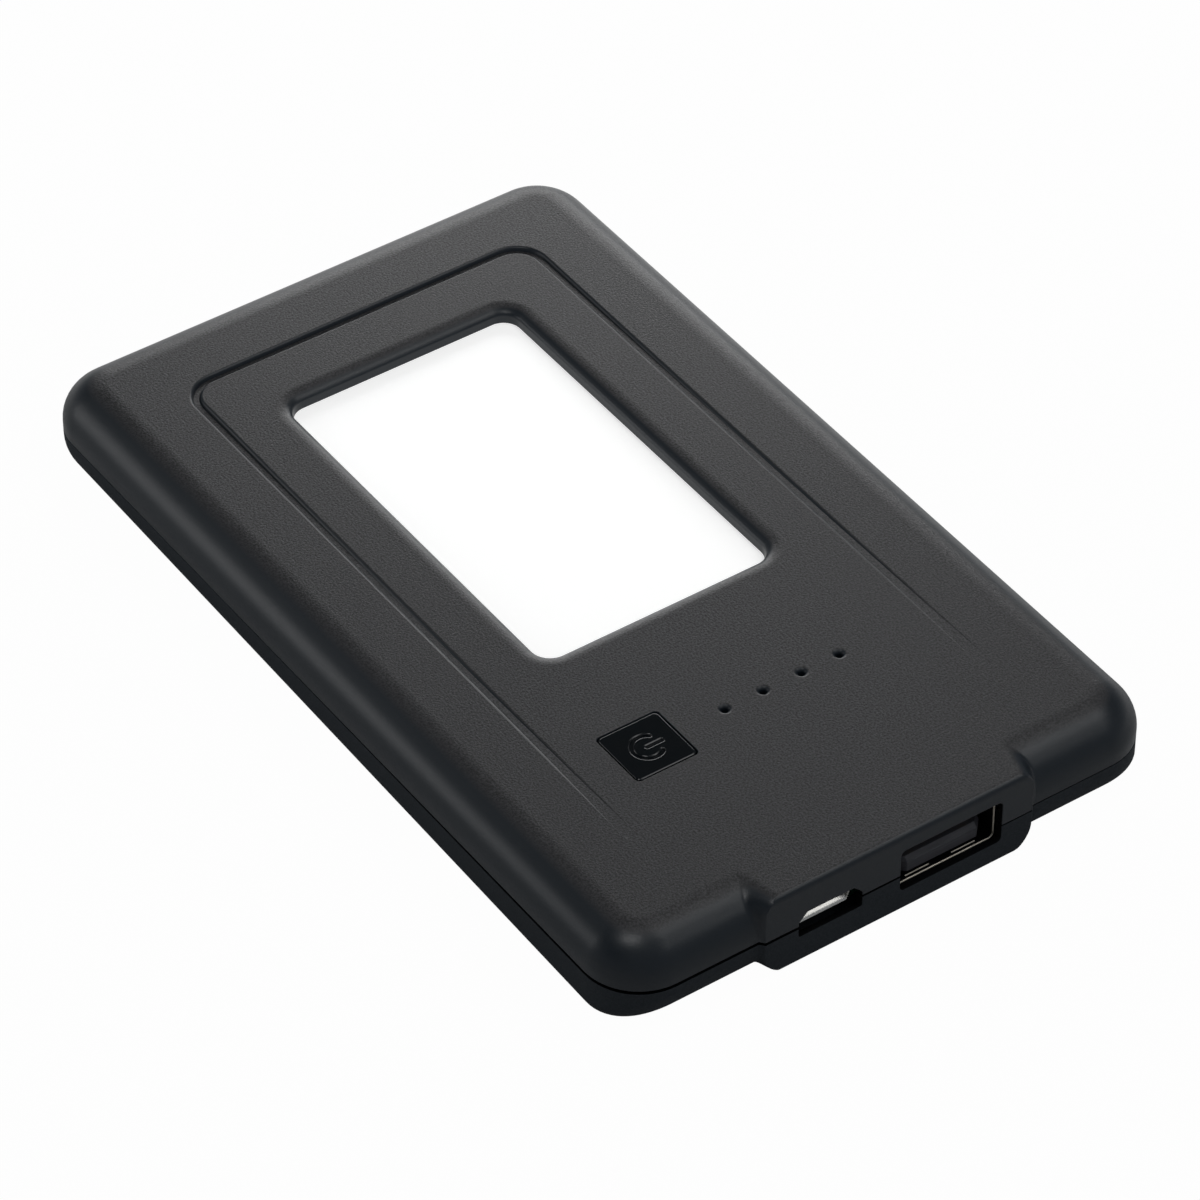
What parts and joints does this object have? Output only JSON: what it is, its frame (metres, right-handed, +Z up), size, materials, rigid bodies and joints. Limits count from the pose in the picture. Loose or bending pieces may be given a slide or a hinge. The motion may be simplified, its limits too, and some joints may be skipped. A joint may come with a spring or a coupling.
{
  "type": "power bank",
  "caption": "Slim black power bank with a lit white window, a square power button, a row of indicator holes and two charging sockets in the front end.",
  "frame": {"origin": "middle of the flat underside, at the centre of the overall box", "axes": "+Z up out of the top face, +Y along the length away from the sockets, +X to the right when facing the sockets from the front"},
  "size_m": [0.07, 0.115, 0.011],
  "materials": {
    "case": "black moulded plastic with a fine spark-eroded grain",
    "diffuser": "milky white translucent diffuser",
    "acrylic": "clear acrylic light guide",
    "white_sheet": "white reflector film",
    "lamp": "small white lamp package",
    "button": "polished black plastic",
    "component_black": "black moulded component body",
    "nickel": "nickel-plated strip",
    "socket_plastic": "dark grey heat-proof plastic",
    "shield_rubber": "black foam rubber",
    "socket_steel": "plated folded steel",
    "contact": "gold-flashed contact strip",
    "board": "green lacquered circuit board",
    "screw": "plated steel screw",
    "ferrite": "grey ferrite coil body",
    "can": "drawn aluminium can",
    "pouch": "silver laminated pouch",
    "tape": "white double-sided tape",
    "lead_red": "red silicone-covered lead",
    "lead_black": "black silicone-covered lead"
  },
  "bodies": {
    "case": {"top_cover": "case", "bottom_cover": "case", "light_window": "diffuser", "light_guide": "acrylic", "reflector_sheet": "white_sheet", "light_strip": "white_sheet", "backlight_lamp_1": "lamp", "backlight_lamp_2": "lamp", "backlight_lamp_3": "lamp", "switch_housing": "component_black", "switch_dome": "nickel", "indicator_lamp_1": "lamp", "indicator_lamp_2": "lamp", "indicator_lamp_3": "lamp", "indicator_lamp_4": "lamp", "indicator_shield": "shield_rubber", "usb_a_shell": "socket_steel", "usb_a_tongue": "socket_plastic", "usb_a_contact_1": "contact", "usb_a_contact_2": "contact", "usb_a_contact_3": "contact", "usb_a_contact_4": "contact", "micro_usb_shell": "socket_steel", "micro_usb_tongue": "socket_plastic", "micro_usb_contact_1": "contact", "micro_usb_contact_2": "contact", "micro_usb_contact_3": "contact", "micro_usb_contact_4": "contact", "micro_usb_contact_5": "contact", "main_board": "board", "board_screw_left": "screw", "board_screw_right": "screw", "charger_chip": "component_black", "boost_chip": "component_black", "boost_coil": "ferrite", "load_transistor": "component_black", "capacitor_1": "can", "capacitor_2": "can", "battery_cell": "pouch", "battery_tape": "tape", "battery_tab_positive": "nickel", "battery_tab_negative": "nickel", "battery_lead_positive": "lead_red", "battery_lead_negative": "lead_black"},
    "button": {"power_button": "button"},
    "plunger": {"switch_plunger": "socket_plastic"}
  },
  "joints": [
    {"name": "button_press", "type": "slide", "parent": "case", "child": "button", "axis": [0, 0, -1], "range_m": [0, 0.0003], "stiffness_N_per_m": 3300, "deforming": ["switch_dome"]},
    {"name": "plunger_press", "type": "slide", "parent": "case", "child": "plunger", "axis": [0, 0, -1], "range_m": [0, 0.0003]}
  ],
  "couplings": [
    {"joint": "plunger_press", "follows": "button_press", "ratio": 1}
  ]
}
